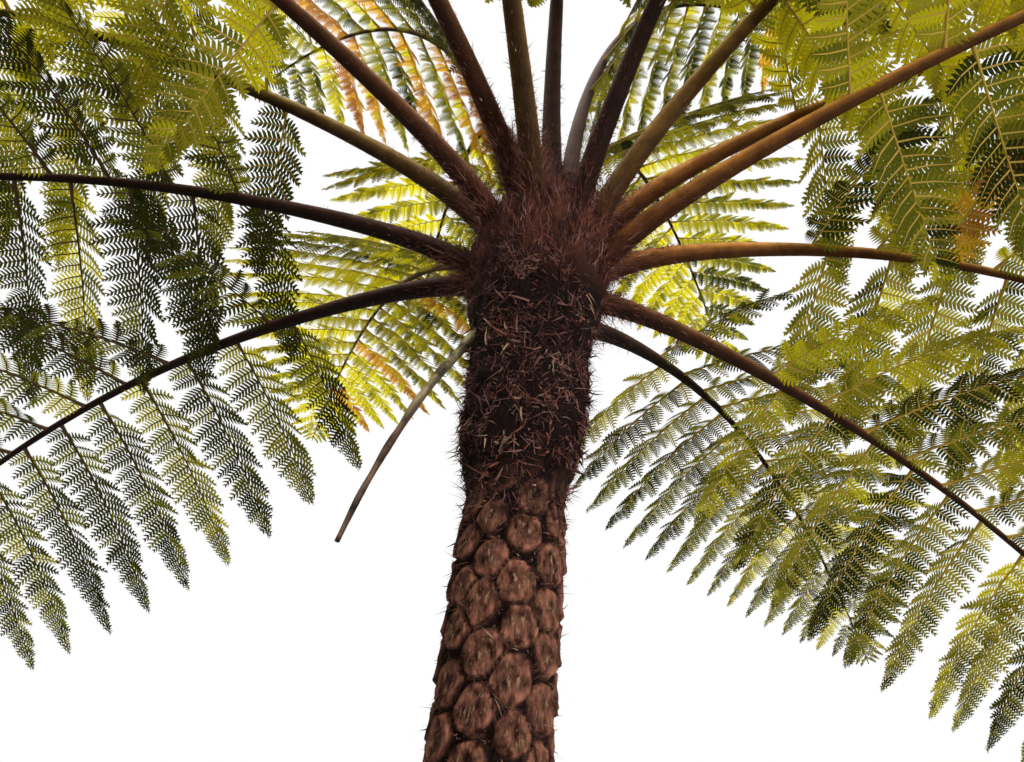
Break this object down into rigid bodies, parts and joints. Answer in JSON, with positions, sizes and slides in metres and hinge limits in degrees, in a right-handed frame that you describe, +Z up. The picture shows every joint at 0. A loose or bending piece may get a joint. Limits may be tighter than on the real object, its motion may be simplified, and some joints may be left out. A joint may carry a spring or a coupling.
{
  "type": "tree fern",
  "caption": "Tree fern with a slim leaning scarred trunk and a wide crown of arching feathery fronds, rooted in the ground.",
  "frame": {"origin": "middle of the flat cut under the trunk, at ground level", "axes": "+Z up, +X the way the trunk leans, -Y towards the side that the picture was taken from"},
  "size_m": [4.6587, 4.2235, 3.8731],
  "materials": {
    "trunk": "rough bark of oval leaf scars, brown fibres and pale scales",
    "stalk": "satin olive and reddish brown stalk with fine hairs at its base",
    "foliage": "soft yellow-green fern leaf that light shines through",
    "dead_stalk": "dry grey-brown weathered stalk"
  },
  "bodies": {
    "root": {"trunk": "trunk", "dead_stalk": "dead_stalk", "stalk_01": "stalk", "blade_01_inner": "foliage", "blade_01_outer": "foliage", "stalk_02": "stalk", "blade_02_inner": "foliage", "blade_02_outer": "foliage", "stalk_03": "stalk", "blade_03_inner": "foliage", "blade_03_outer": "foliage", "stalk_04": "stalk", "blade_04_inner": "foliage", "blade_04_outer": "foliage", "stalk_05": "stalk", "blade_05_inner": "foliage", "blade_05_outer": "foliage", "stalk_06": "stalk", "blade_06_inner": "foliage", "blade_06_outer": "foliage", "stalk_07": "stalk", "blade_07_inner": "foliage", "blade_07_outer": "foliage", "stalk_08": "stalk", "blade_08_inner": "foliage", "blade_08_outer": "foliage", "stalk_09": "stalk", "blade_09_inner": "foliage", "blade_09_outer": "foliage", "stalk_10": "stalk", "blade_10_inner": "foliage", "blade_10_outer": "foliage", "stalk_11": "stalk", "blade_11_inner": "foliage", "blade_11_outer": "foliage", "stalk_12": "stalk", "blade_12_inner": "foliage", "blade_12_outer": "foliage", "stalk_13": "stalk", "blade_13_inner": "foliage", "blade_13_outer": "foliage", "stalk_14": "stalk", "blade_14_inner": "foliage", "blade_14_outer": "foliage", "stalk_15": "stalk", "blade_15_inner": "foliage", "blade_15_outer": "foliage", "stalk_16": "stalk", "blade_16_inner": "foliage", "blade_16_outer": "foliage", "stalk_17": "stalk", "blade_17_inner": "foliage", "blade_17_outer": "foliage", "stalk_18": "stalk", "blade_18_inner": "foliage", "blade_18_outer": "foliage", "stalk_19": "stalk", "blade_19_inner": "foliage", "blade_19_outer": "foliage"}
  },
  "joints": []
}
